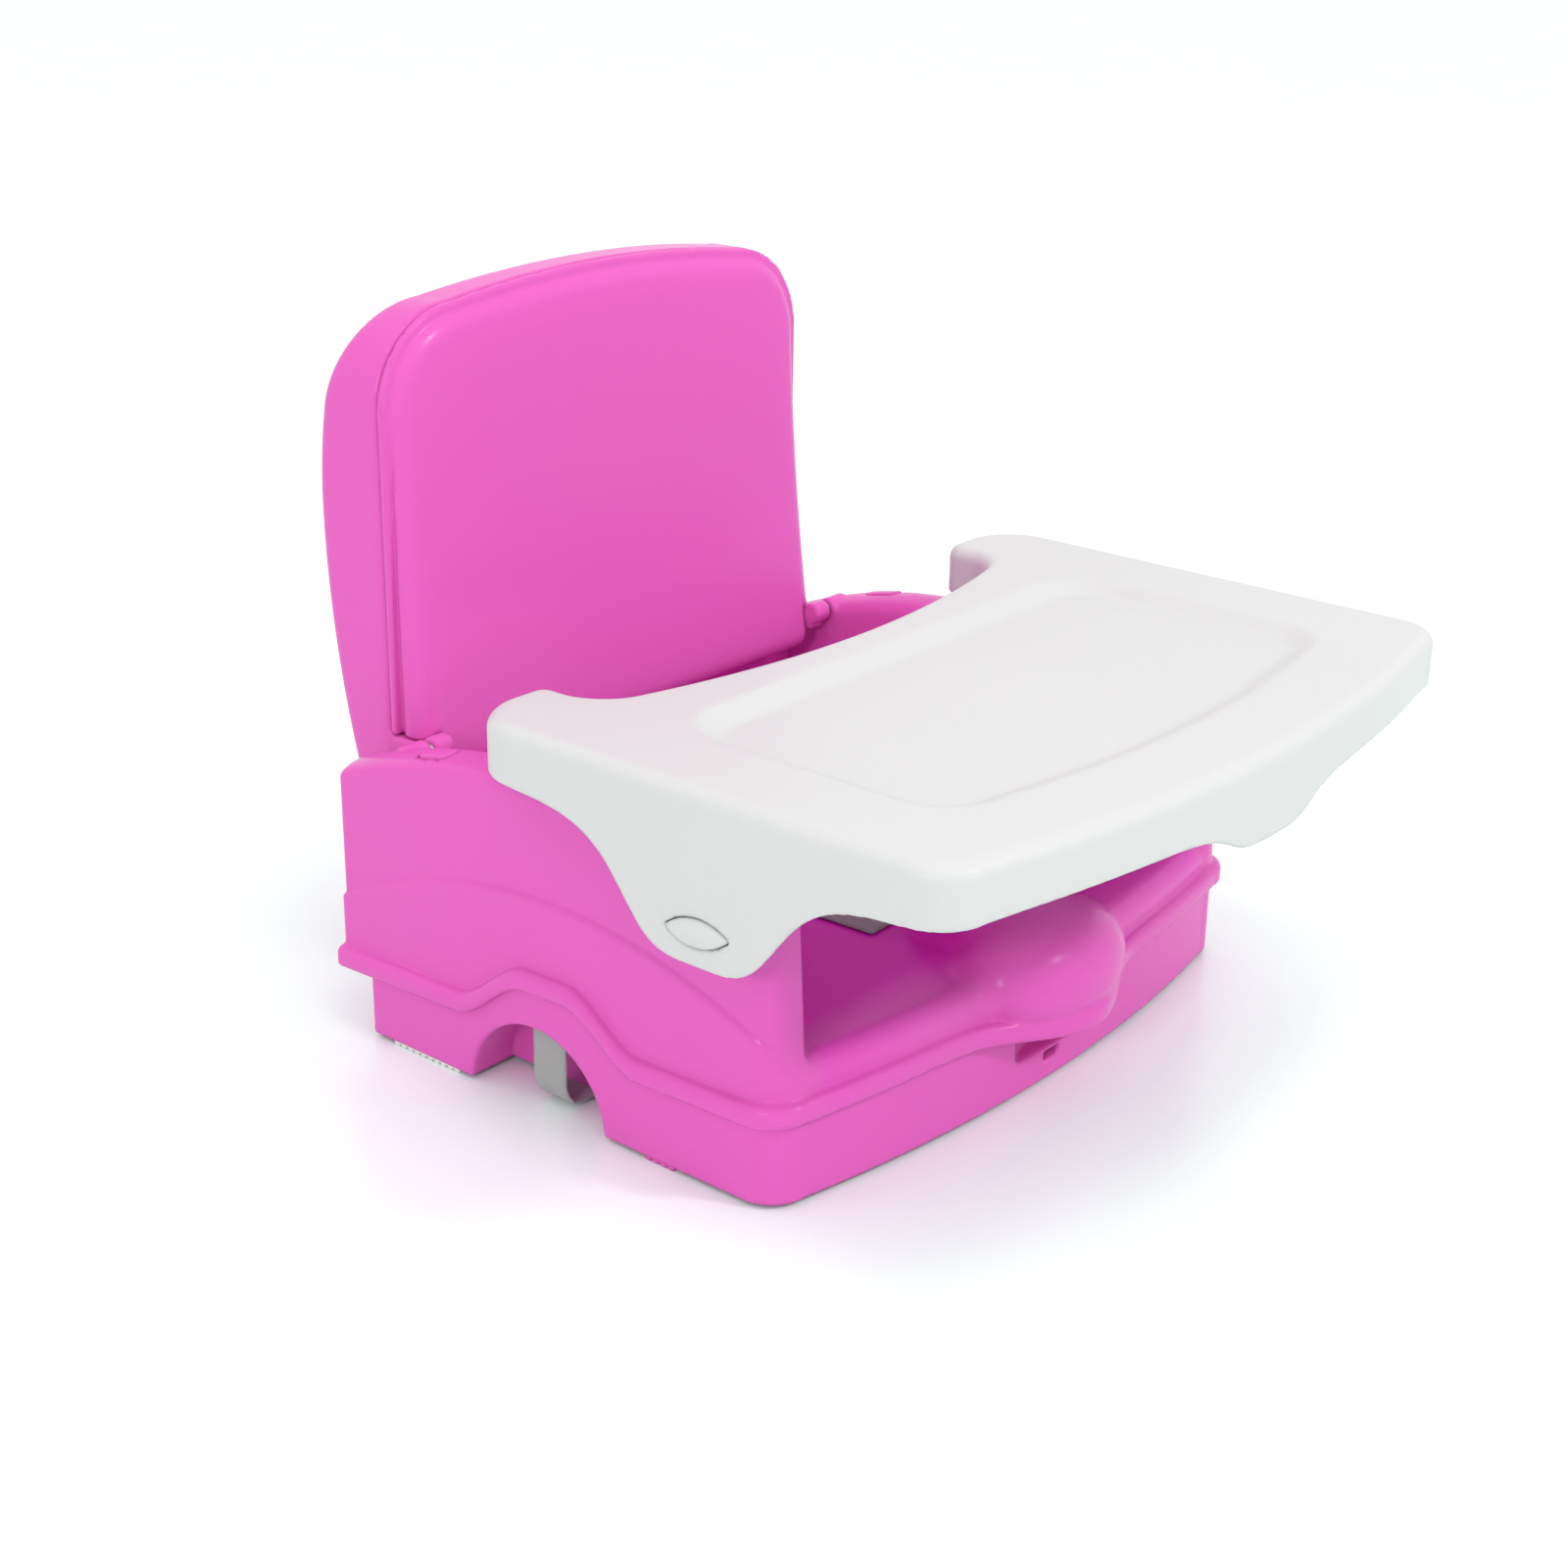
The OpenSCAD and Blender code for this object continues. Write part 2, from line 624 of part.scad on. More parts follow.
// Lever that the button swings about an upright pin, so that its hook leaves the arm's rail
module tray_latch(s) color(white) side(s) {
    pivot_x = tray_hw - pivot_in;
    difference() {
        union() {
            box([pivot_x - 2.2, flap_y - 14, latch_z], [pivot_x - 0.2, flap_y + 14, latch_z + latch_h]);
            box([pivot_x - 9.6, flap_y + 10, latch_z], [pivot_x - 2, flap_y + 14, latch_z + latch_h]);
            rod_z(pivot_x, flap_y, latch_z, latch_z + latch_h, 2.6);
        }
        rod_z(pivot_x, flap_y, latch_z - 1, latch_z + latch_h + 1, 1.55);
    }
}

// Cover screwed behind the flap; it carries the lever's pin and the button's spring
module latch_cover(s) color(white) side(s) difference() {
    inner = tray_hw - cover_in;
    union() {
        along_x(inner, inner + cover_t) polygon([[-86, cover_z], [-49, cover_z], [-32, cover_z + 34],
            [-32, cover_z + 43], [-105, cover_z + 43], [-105, cover_z + 34]]);
        box([inner, flap_y - 18, cover_z], [tray_hw - 7.5, flap_y + 18, cover_z + 2]);
        rod_z(tray_hw - pivot_in, flap_y, cover_z + 1, latch_z + latch_h + 3, 1.5);
        for (y = cover_screw_y) rod_x(inner, tray_hw - 9, y, cover_screw_z, 4);
    }
    box([inner - 1, flap_y + 8, latch_z - 1], [inner + cover_t + 1, flap_y + 18, latch_z + latch_h + 1]);
    for (y = cover_screw_y) rod_x(inner - 1, tray_hw, y, cover_screw_z, 1.7);
}

module tray_spring(s) color(steel) side(s)
    translate([tray_hw - cover_in + cover_t + 0.4, flap_y, cover_z + 15.5])
        spring(2.8, 0.8, 4, cover_in - cover_t - button_travel - 2.5);

module tray_screws() color(steel) both_sides() for (y = cover_screw_y) {
    rod_x(tray_hw - cover_in - 1.6, tray_hw - cover_in, y, cover_screw_z, 3);
    rod_x(tray_hw - cover_in - eps, tray_hw - 4, y, cover_screw_z, 1.5);
}

// ---------------------------------------------------------------- nodes

lower_base();
seat_shell();
front_foot(-1);  // front_foot_left
front_foot(1);  // front_foot_right
rear_foot(-1);  // rear_foot_left
rear_foot(1);  // rear_foot_right
base_screws();
hinge_pin(-1);  // hinge_pin_left
hinge_pin(1);  // hinge_pin_right
fold_button(-1);  // fold_button_left
fold_button(1);  // fold_button_right
fold_spring(-1);  // fold_spring_left
fold_spring(1);  // fold_spring_right
chair_strap(-1);  // chair_strap_left
chair_strap(1);  // chair_strap_right
chair_buckle_socket();
chair_buckle_plug();
strap_anchor(-1);  // strap_anchor_left
strap_anchor(1);  // strap_anchor_right
back_strap(-1);  // back_strap_left
back_strap(1);  // back_strap_right
back_buckle_socket();
back_buckle_plug();
crotch_strap();
waist_strap(-1);  // waist_strap_left
waist_strap(1);  // waist_strap_right
strap_tail();
harness_buckle();
harness_prong(-1);  // harness_prong_left
harness_prong(1);  // harness_prong_right
back_rear_shell();
back_front_panel();
back_screws();
tray_shell();
latch_cover(-1);  // latch_cover_left
latch_cover(1);  // latch_cover_right
tray_button(-1);  // tray_button_left
tray_button(1);  // tray_button_right
tray_latch(-1);  // tray_latch_left
tray_latch(1);  // tray_latch_right
tray_spring(-1);  // tray_spring_left
tray_spring(1);  // tray_spring_right
tray_screws();
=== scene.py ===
"""Folding booster seat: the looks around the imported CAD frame."""

import json
import math

import bmesh
import bpy
import numpy as np
from mathutils import Matrix, Vector


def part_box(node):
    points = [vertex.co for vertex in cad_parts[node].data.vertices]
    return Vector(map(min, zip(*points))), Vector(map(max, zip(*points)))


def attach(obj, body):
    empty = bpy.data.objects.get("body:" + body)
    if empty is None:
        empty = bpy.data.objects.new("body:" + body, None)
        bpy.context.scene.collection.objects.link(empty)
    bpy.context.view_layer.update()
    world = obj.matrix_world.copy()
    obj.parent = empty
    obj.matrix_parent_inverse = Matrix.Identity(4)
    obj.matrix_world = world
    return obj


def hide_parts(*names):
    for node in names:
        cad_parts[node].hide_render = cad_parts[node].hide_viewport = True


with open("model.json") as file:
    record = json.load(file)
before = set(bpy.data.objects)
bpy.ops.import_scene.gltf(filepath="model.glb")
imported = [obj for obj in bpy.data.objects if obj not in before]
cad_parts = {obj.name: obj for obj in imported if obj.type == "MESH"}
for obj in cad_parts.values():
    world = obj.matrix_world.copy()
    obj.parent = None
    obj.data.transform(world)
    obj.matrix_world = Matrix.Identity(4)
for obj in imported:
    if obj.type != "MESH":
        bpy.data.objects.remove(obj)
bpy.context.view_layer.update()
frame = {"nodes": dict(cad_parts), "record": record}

MM = 0.001
FINE = 2.0       # spacing of the grids that the shells are made on, mm

# Driving sizes of the CAD model, in mm. HW is half a width, IN the inner half of one
SEAT_HW, BASE_HW, ARM_HW, ARM_IN = 180, 176, 175, 146
SEAT_FRONT, SEAT_REAR, BASE_REAR, FRONT_BOW = -95, 175, 155, 16
SEAT_TOP, ARM_TOP, FOOT_H, WALL = 65, 155, 2, 3
CORNER_FRONT, CORNER_REAR, NOSE_HALF = 18, 4, 66
BEAD_REAR_Z, BEAD_RISE, WAVE_Y, WAVE_H, WAVE_FOOT, WAVE_SLOPE = 37, 8, 37, 23, 56, 44
CREASE_Y, CREASE_TOP, CREASE_R = 35, 103, 280.0
ARM_REAR_Y, ARM_REAR_FALL, ARM_FRONT_Y, ARM_FRONT_FALL = 60, 530, 30, 700
ARCH_Y, ARCH_Z, ARCH_R, ARCH_DEPTH = 45, -1.4, 41.4, 26
HOLLOW_Z, FINGER_R, FINGER_OUT, FINGER_Z, FINGER_HALF = 33, 44, 33, 36, 18
HINGE_Y, HINGE_Z, KNUCKLE_R = 143, 138, 5.5
BACK_HW, BACK_FOOT, BACK_TOP, BACK_DEPTH, SEAM_Y = 143, 116, 341, 43, 170
TRAY_HW, TRAY_FRONT, TRAY_EAR, TRAY_BOW, TRAY_TOP, SKIRT_Z = 196, -192, 66, 21, 189, 164
EAR_IN, TRAY_BELLY, FLAP_Y, FLAP_DROP, BUTTON_Z = 145, 11, -68, 50, 129
DISH_HW, DISH_DEPTH, DISH_SLOPE, DISH_CORNER = 152, 5, 16, 34
LEAF_TILT, LEAF_R, LEAF_OUT = 4, 27, 21
STRAP_X, HARNESS_Y, WEB_W, WEB_T = 170.5, 62, 20, 1.4
FOLD_X, FOLD_Y, FOLD_TOP, FOLD_R, FOLD_WELL_R = 162, 116, 149.1, 5.1, 5.7
FOOT_IN, FOOT_TOP, RIB_PITCH, GROOVE_HALF, GROOVE_Z = 154.5, 3.4, 4.5, 1.5, 1.3
POMMEL = (((0, -103, 57), (49, 32, 30)),        # nose, saddle and tail: centre and radii
          ((0, -70, 67), (27, 40, 31)),
          ((0, -28, 61), (13, 30, 14)))


# ---------------------------------------------------------------- shapes as distance fields, in mm

def both(a, b, r=0.0):
    """Where two shapes overlap, with the edge between them rounded to radius r."""
    if r == 0:
        return np.maximum(a, b)
    return np.minimum(np.maximum(a, b), -r) + np.hypot(np.maximum(r + a, 0), np.maximum(r + b, 0))


def either(a, b, r=0.0):
    """Two shapes joined, with a fillet of radius r between them."""
    return -both(-a, -b, r)


def cut(a, b, r=0.0):
    """Shape a without shape b."""
    return both(a, -b, r)


def ease(t):
    """0 below 0, 1 above 1, and a smooth step between."""
    t = np.clip(t, 0, 1)
    return t * t * (3 - 2 * t)


def bump(d, half):
    """A bell, 1 at d = 0 and 0 beyond half."""
    return ease(1 - np.abs(d) / half)


def lobe(d, half):
    """A bell with a flatter top, a half at d = half."""
    return 1 / (1 + np.abs(d / half) ** 4.4)


def ball(x, y, z, centre, radii):
    """An ellipsoid."""
    p = np.sqrt(sum(((v - c) / r) ** 2 for v, c, r in zip((x, y, z), centre, radii)))
    return (p - 1) * min(radii)


def block(x, y, z, lo, hi, r=0.0):
    """A box between two corners, with its edges rounded."""
    q = [np.abs(v - (a + b) / 2) - (b - a) / 2 + r for v, a, b in zip((x, y, z), lo, hi)]
    outside = np.sqrt(sum(np.maximum(v, 0) ** 2 for v in q))
    return outside + np.minimum(np.maximum(np.maximum(q[0], q[1]), q[2]), 0) - r


def rod(along, across_a, across_b, lo, hi, radius, r=0.0):
    """A round bar between two planes of its own axis."""
    ends = np.abs(along - (lo + hi) / 2) - (hi - lo) / 2
    return both(np.hypot(across_a, across_b) - radius, ends, r)


def corners(u, v):
    """Two straight edges that meet; less a radius, it rounds their corner."""
    return np.minimum(np.maximum(u, v), 0) + np.hypot(np.maximum(u, 0), np.maximum(v, 0))


def plan(x, y, hw, y0, y1, bow, rf, rr, nose=0.0):
    """Seen from above: a rounded rectangle whose front bows forward, with an optional nose."""
    mid = (y0 + y1) / 2
    x = np.abs(x)
    forward = np.clip((mid - y) / (mid - y0), 0, 1)
    y = y + forward * (bow * (1 - np.clip(x / (hw - rf), 0, 1) ** 2) + nose * bump(x, NOSE_HALF))
    r = np.where(y < mid, rf, rr)
    qx = x - hw + r
    qy = np.abs(y - mid) - (y1 - y0) / 2 + r
    return corners(qx, qy) - r


def bead_z(x, y):
    """Height of the bead's middle: a wave over each side arch, and a dip under the nose."""
    level = BEAD_REAR_Z + BEAD_RISE * (SEAT_REAR - y) / (SEAT_REAR - SEAT_FRONT)
    wave = WAVE_H * ease((WAVE_FOOT - np.abs(y - WAVE_Y)) / WAVE_SLOPE)
    dip = 6 * bump(x, 90) * ease((-60 - y) / 40)
    return level + wave - dip


def crease_z(y):
    """Height of the shallow step along the outer side of each arm."""
    return CREASE_TOP - CREASE_R + np.sqrt(CREASE_R ** 2 - np.clip(y - CREASE_Y, -150, 150) ** 2)


def arm_z(x, y):
    """Height of an arm's top: it falls to the rear, to the front and to both edges."""
    crown = 5 * ((np.abs(x) - 160) / 15) ** 2
    rear = np.maximum(y - ARM_REAR_Y, 0) ** 2 / ARM_REAR_FALL
    front = np.maximum(ARM_FRONT_Y - y, 0) ** 2 / ARM_FRONT_FALL
    return ARM_TOP - rear - front - np.clip(crown, 0, 6)


def lower_base(x, y, z):
    ax = np.abs(x)
    side = plan(x, y, BASE_HW, SEAT_FRONT, BASE_REAR, FRONT_BOW, CORNER_FRONT, CORNER_REAR)
    body = both(side, FOOT_H - z, 1)
    body = both(body, z - bead_z(x, y) + 1)
    hollow = both(side + WALL, z - HOLLOW_Z)
    round_arch = np.hypot(y - ARCH_Y, z - ARCH_Z) - ARCH_R
    inner_wall = both(round_arch - WALL, BASE_HW - ARCH_DEPTH - WALL - ax)
    fingers = np.hypot(x, y - SEAT_FRONT + FRONT_BOW + FINGER_OUT) - FINGER_R
    body = cut(body, cut(hollow, either(inner_wall, fingers - WALL)))
    body = cut(body, both(round_arch, BASE_HW - ARCH_DEPTH - ax), 1.6)
    scoop = both(fingers, np.abs(z - FINGER_Z) - FINGER_HALF, 2)
    body = cut(body, scoop, 1)
    slot = block(x, y, z, (-6, -130, 11.2), (6, -101, 16), 0.3)
    return cut(body, slot, 0.3)


def pommel(x, y, z):
    """The rise between the legs."""
    nose, saddle, tail = (ball(x, y, z, *part) for part in POMMEL)
    return either(either(nose, saddle, 8), tail, 12)


def seat_shell(x, y, z):
    ax = np.abs(x)
    low = bead_z(x, y)
    step = 1.6 * ease((z - crease_z(y)) / 1.8 + 0.5) * ease((y + 92) / 14)
    side = plan(x, y, ARM_HW, SEAT_FRONT, SEAT_REAR - 1, FRONT_BOW, CORNER_FRONT, CORNER_REAR)
    side = side + step
    arms = both(side, z - arm_z(x, y), 2.5)
    inner = ARM_IN + 8 * ease((-35 - y) / 55)
    arm = both(arms, inner - ax, 5)
    arm = both(arm, SEAT_FRONT + 2 + 0.06 * (z - SEAT_TOP) - y, 4)
    pan = both(both(side + 1, z - SEAT_TOP, 10), ax - 165)
    body = either(arm, pan, 5)
    rear_wall = block(x, y, z, (-147, SEAT_REAR - 4, 45), (147, SEAT_REAR - 1, BACK_FOOT - 3), 1)
    body = either(body, rear_wall, 1)
    body = either(body, both(pommel(x, y, z), 41 - z), 6)
    body = both(body, low - 4 - z)
    band = plan(x, y, SEAT_HW, SEAT_FRONT - 4, SEAT_REAR, FRONT_BOW, 20, 5, nose=20)
    bead = both(both(band, z - low - 5, 4), low - 5 - z, 1.5)
    shelf = both(band + 4, np.abs(z - low - 1) - 3)
    body = either(body, either(bead, shelf), 0.8)
    ear = rod(ax, y - HINGE_Y, z - HINGE_Z, ARM_IN - 0.2, ARM_IN + 14, KNUCKLE_R, 1)
    body = either(body, ear, 1)
    well = both(pill(ax, y, FOLD_WELL_R), FOLD_TOP - 27 - z)
    return cut(body, well, 0.8)


def pill(ax, y, r):
    """Seen from above: the outline of a fold button."""
    return np.hypot(ax - FOLD_X, np.maximum(np.abs(y - FOLD_Y) - 5, 0)) - r


def fold_button(x, y, z):
    ax = np.abs(x)
    top = arm_z(x, y) + 0.6
    return both(pill(ax, y, FOLD_R), np.maximum(z - top, FOLD_TOP - 20 - z), 1.4)


def back_outline(x, z, inset=0.0):
    """Seen from the front: the backrest, with a bowed top edge and round upper corners."""
    hw = BACK_HW - inset
    rise = 7 * (1 - (np.clip(x / 98, -1, 1)) ** 2)
    top = BACK_TOP - 7 + rise - inset
    corner = 46 - inset
    qx = np.abs(x) - hw + corner
    qz = z - top + corner
    return both(corners(qx, qz) - corner, BACK_FOOT + inset - z, 3)


def rear_y(z):
    """The backrest's bulged rear face."""
    return SEAM_Y + BACK_DEPTH * (1 - ((z - 240) / np.where(z < 240, 198.0, 140.0)) ** 2)


def panel_y(z):
    """The front panel's face, which swells towards its foot."""
    return SEAM_Y - 9 - 19 * np.clip((BACK_TOP - z) / (BACK_TOP - BACK_FOOT), 0, 1.2) ** 2


def knuckle(x, y, z):
    """The hinge barrels at the backrest's foot, with the webs that carry them."""
    ax = np.abs(x)
    barrel = rod(ax, y - HINGE_Y, z - HINGE_Z, BACK_HW - 11, BACK_HW, KNUCKLE_R, 1)
    web = block(ax, y, z, (BACK_HW - 11, HINGE_Y, HINGE_Z - 9), (BACK_HW, SEAM_Y + 12, HINGE_Z), 1)
    return either(barrel, web, 2)


def back_rear_shell(x, y, z):
    shell = both(back_outline(x, z), y - rear_y(z), 6)
    shell = both(shell, SEAM_Y - y, 0.8)
    return either(shell, knuckle(x, y, z), 1)


def back_front_panel(x, y, z):
    outline = back_outline(x, z, 0.3)
    lip = both(outline, np.abs(y - SEAM_Y + 2.2) - 1.9, 0.5)
    pillow = 2 * (1 - ease(-outline / 30)) ** 2
    face = both(outline + 1.3, np.maximum(panel_y(z) + pillow - y, y - SEAM_Y + 1.2), 11)
    panel = either(face, lip, 0.3)
    notch = block(np.abs(x), y, z, (BACK_HW - 12, 90, 90), (BACK_HW + 20, 190, HINGE_Z + 0.8), 1)
    barrel = rod(np.abs(x), y - HINGE_Y, z - HINGE_Z, BACK_HW - 12, BACK_HW + 20, KNUCKLE_R + 1)
    return cut(panel, either(notch, barrel, 1), 1)


def tray_outline(x, y):
    ax = np.abs(x)
    belly = both(TRAY_BELLY + 18 * (ax / 129) ** 2 - y, ax - EAR_IN, 16)
    return cut(plan(x, y, TRAY_HW, TRAY_FRONT, TRAY_EAR, TRAY_BOW, 22, 30), belly, 9)


def tray_shell(x, y, z):
    ax = np.abs(x)
    outline = tray_outline(x, y)
    recess = plan(x, y, DISH_HW, TRAY_FRONT + 30, TRAY_BELLY - 18, 12, DISH_CORNER, DISH_CORNER)
    dish = DISH_DEPTH * ease(-recess / DISH_SLOPE)
    skirt = SKIRT_Z - FLAP_DROP * lobe(y - FLAP_Y, 44) * ease((ax - 150) / 35)
    skirt = skirt - 14 * lobe(x, 36) * ease((-150 - y) / 35)
    outer = both(outline, z - TRAY_TOP + dish, 6.5)
    inner = both(outline + WALL, z - TRAY_TOP + dish + WALL, 4)
    shell = both(cut(outer, inner), skirt - z, 1.2)
    hole = both(leaf(y, z, 0.5), TRAY_HW - 12 - ax)
    return cut(shell, hole, 0.6)


def leaf(y, z, grow=0.0):
    """Seen from the side: the outline of a release button, two arcs that meet in points."""
    c, s = math.cos(math.radians(LEAF_TILT)), math.sin(math.radians(LEAF_TILT))
    u, v = y - FLAP_Y, z - BUTTON_Z
    u, v = c * u - s * v, s * u + c * v
    upper, lower = (np.hypot(u, v + out) - LEAF_R - grow for out in (-LEAF_OUT, LEAF_OUT))
    return both(upper, lower, 1.2)


def tray_button(x, y, z):
    ax = np.abs(x)
    dome = TRAY_HW + 3.2 - 0.012 * ((y - FLAP_Y) ** 2 + 5 * (z - BUTTON_Z) ** 2)
    cap = both(leaf(y, z), np.maximum(ax - dome, TRAY_HW - 4.5 - ax), 1.2)
    flange = block(ax, y, z, (TRAY_HW - 4.2, FLAP_Y - 18, 120),
                   (TRAY_HW - 3.3, FLAP_Y + 18, 139.5), 0.4)
    stem = rod(ax, y - FLAP_Y + 12, z - 126.5, TRAY_HW - 9.9, TRAY_HW - 4, 2, 0.3)
    return either(either(cap, flange), stem)


def foot(x, y, z, y0, y1):
    """Ribbed rubber foot that wraps the base's lower edge."""
    body = block(np.abs(x), y, z, (FOOT_IN, y0 + 0.3, 0), (BASE_HW - 0.4, y1 - 0.3, FOOT_TOP), 0.6)
    between_ribs = GROOVE_HALF - np.abs((y - y0 - 0.8) % RIB_PITCH - GROOVE_HALF)
    return both(body, np.minimum(GROOVE_Z - z, -between_ribs), 0.3)


# ---------------------------------------------------------------- meshes from the distance fields

CORNERS = np.array([(i, j, k) for i in (0, 1) for j in (0, 1) for k in (0, 1)])
EDGES = [(a, b) for a in range(8) for b in range(a + 1, 8)
         if np.abs(CORNERS[a] - CORNERS[b]).sum() == 1]
BLOCK = 5                              # fine cells along a side of one coarse block


def sample(shape, lo, step, size):
    """The shape's distances on a grid; blocks well away from its surface keep one rough value."""
    blocks = tuple(-(-n // BLOCK) for n in size)
    centre = [lo[a] + (np.arange(blocks[a]) * BLOCK + (BLOCK - 1) / 2) * step for a in range(3)]
    rough = shape(*np.meshgrid(*centre, indexing="ij"))
    near = np.abs(rough) < BLOCK * step * 1.5 + 4
    values, wanted = (
        coarse.repeat(BLOCK, 0).repeat(BLOCK, 1).repeat(BLOCK, 2)[:size[0], :size[1], :size[2]]
        for coarse in (rough, near))
    points = np.argwhere(wanted)
    values[wanted] = shape(*(np.array(lo)[:, None] + points.T * step))
    return values


def surface_net(values, lo, step):
    """Vertices and quads of the zero surface of a grid of distances."""
    inside = values < 0
    cells = tuple(n - 1 for n in values.shape)
    full = np.zeros(cells, int)
    for c in CORNERS:
        full += inside[c[0]:c[0] + cells[0], c[1]:c[1] + cells[1], c[2]:c[2] + cells[2]]
    mixed = (full > 0) & (full < 8)
    at = np.argwhere(mixed)
    corner = at[:, None, :] + CORNERS[None]
    v = values[corner[..., 0], corner[..., 1], corner[..., 2]]
    total = np.zeros((len(at), 3))
    count = np.zeros(len(at))
    for a, b in EDGES:
        crosses = (v[:, a] < 0) != (v[:, b] < 0)
        t = v[crosses, a] / (v[crosses, a] - v[crosses, b])
        total[crosses] += CORNERS[a] + t[:, None] * (CORNERS[b] - CORNERS[a])
        count[crosses] += 1
    verts = (at + total / count[:, None]) * step + np.array(lo)
    ids = np.full(cells, -1)
    ids[mixed] = np.arange(len(at))
    quads = []
    for axis in range(3):
        here = [slice(1, -1)] * 3
        there = [slice(1, -1)] * 3
        here[axis], there[axis] = slice(0, -1), slice(1, None)
        a, b = inside[tuple(here)], inside[tuple(there)]
        p = np.argwhere(a != b) + 1
        p[:, axis] -= 1
        out = a[a != b]
        u, w = [i for i in range(3) if i != axis]
        if axis == 1:
            u, w = w, u
        ring = []
        for du, dw in ((0, 0), (-1, 0), (-1, -1), (0, -1)):
            q = p.copy()
            q[:, u] += du
            q[:, w] += dw
            ring.append(ids[q[:, 0], q[:, 1], q[:, 2]])
        ring = np.stack(ring, 1)
        ring[~out] = ring[~out][:, ::-1]
        quads.append(ring)
    return verts, np.concatenate(quads)


def settle(shape, verts, step, rounds=3):
    """Moves vertices on to the true surface."""
    h = 0.2                             # half the distance that the slope is taken over, mm
    for _ in range(rounds):
        d = shape(*verts.T)
        slope = np.stack([(shape(*(verts + e).T) - shape(*(verts - e).T)) / (2 * h)
                          for e in np.eye(3) * h], 1)
        move = slope * (d / np.maximum((slope ** 2).sum(1), 0.2))[:, None]
        size = np.linalg.norm(move, axis=1, keepdims=True)
        verts = verts - move * np.minimum(1, 0.6 * step / np.maximum(size, 1e-9))
    return verts


def mesh_object(name, verts, faces, smooth=True):
    """A mesh object from vertices in mm and faces that all have as many corners."""
    mesh = bpy.data.meshes.new(name)
    faces = np.asarray(faces)
    n, sides = faces.shape
    mesh.vertices.add(len(verts))
    mesh.vertices.foreach_set("co", (np.asarray(verts, float) * MM).ravel())
    mesh.loops.add(n * sides)
    mesh.loops.foreach_set("vertex_index", faces.ravel().astype(np.int32))
    mesh.polygons.add(n)
    mesh.polygons.foreach_set("loop_start", np.arange(0, n * sides, sides, dtype=np.int32))
    mesh.update(calc_edges=True)
    mesh.validate()
    if smooth:
        mesh.shade_smooth()
    obj = bpy.data.objects.new(name, mesh)
    bpy.context.scene.collection.objects.link(obj)
    return obj


def moulded(name, shape, node, body, material, step=FINE, margin=4):
    """A smooth piece made from its distance field, over the space that a CAD node holds."""
    lo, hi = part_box(node)
    lo = [v / MM - margin for v in lo]
    size = tuple(int((h / MM + margin - l) / step) + 2 for l, h in zip(lo, hi))
    verts, quads = surface_net(sample(shape, lo, step, size), lo, step)
    obj = mesh_object(name, settle(shape, verts, step), quads)
    obj.data.materials.append(material)
    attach(obj, body)
    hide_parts(node)
    return obj


def one_side(shape, s):
    """Only the left (-1) or right (1) one of a pair."""
    return lambda x, y, z: both(shape(x, y, z), -s * x)


# ---------------------------------------------------------------- webbing

def smooth_path(points, gap=3.0):
    """Catmull-Rom curve through points, cut into stretches of about gap mm."""
    p = np.array(points, float)
    p = np.vstack([2 * p[0] - p[1], p, 2 * p[-1] - p[-2]])
    out = []
    for a, b, c, d in zip(p, p[1:], p[2:], p[3:]):
        for t in np.arange(0, 1, 1 / max(1, int(np.linalg.norm(c - b) / gap))):
            out.append(0.5 * (2 * b + (c - a) * t + (2 * a - 5 * b + 4 * c - d) * t ** 2
                              + (3 * b - a - 3 * c + d) * t ** 3))
    return np.array(out + [p[-2]])


def ribbon(name, points, replaced, across=None, face=None):
    """Flat webbing with round edges along a path, on the base.

    across is the direction of its width, or face the way that its broad side looks.
    """
    path = smooth_path(points)
    along = np.gradient(path, axis=0)
    along /= np.linalg.norm(along, axis=1, keepdims=True)
    wide = np.cross(face, along) if face else np.broadcast_to(np.array(across, float), path.shape)
    wide = wide - along * (wide * along).sum(1, keepdims=True)
    wide = wide / np.linalg.norm(wide, axis=1, keepdims=True)
    up = np.cross(wide, along)
    lanes = np.linspace(-1, 1, 13)
    half = WEB_W / 2
    selvedge = 1 + 0.22 * np.exp(-((np.abs(lanes) - 0.93) / 0.05) ** 2)
    thick = WEB_T / 2 * np.sqrt(1 - 0.75 * np.abs(lanes) ** 12) * selvedge
    section = [(half * l, t) for l, t in zip(lanes, thick)]
    section += [(a, -b) for a, b in section[::-1]]
    n, m = len(path), len(section)
    verts = np.concatenate([p + np.array([w * a + u * b for a, b in section])
                            for p, w, u in zip(path, wide, up)])
    faces = [(i * m + k, i * m + (k + 1) % m, (i + 1) * m + (k + 1) % m, (i + 1) * m + k)
             for i in range(n - 1) for k in range(m)]
    for base in (0, (n - 1) * m):
        for k in range(len(lanes) - 1):
            ring = (base + k, base + k + 1, base + m - 2 - k, base + m - 1 - k)
            faces.append(ring[::-1] if base == 0 else ring)
    obj = mesh_object(name, verts, faces)
    tidy = bmesh.new()
    tidy.from_mesh(obj.data)
    bmesh.ops.recalc_face_normals(tidy, faces=tidy.faces)
    tidy.to_mesh(obj.data)
    tidy.free()
    length = np.concatenate([[0], np.cumsum(np.linalg.norm(np.diff(path, axis=0), axis=1))])
    weave = obj.data.attributes.new("weave", "FLOAT_VECTOR", "POINT")
    lengths = np.array([(a, l, b) for l in length for a, b in section], float)
    weave.data.foreach_set("vector", lengths.ravel())
    obj.data.materials.append(WEB)
    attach(obj, "base")
    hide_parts(replaced)
    return obj


# ---------------------------------------------------------------- materials

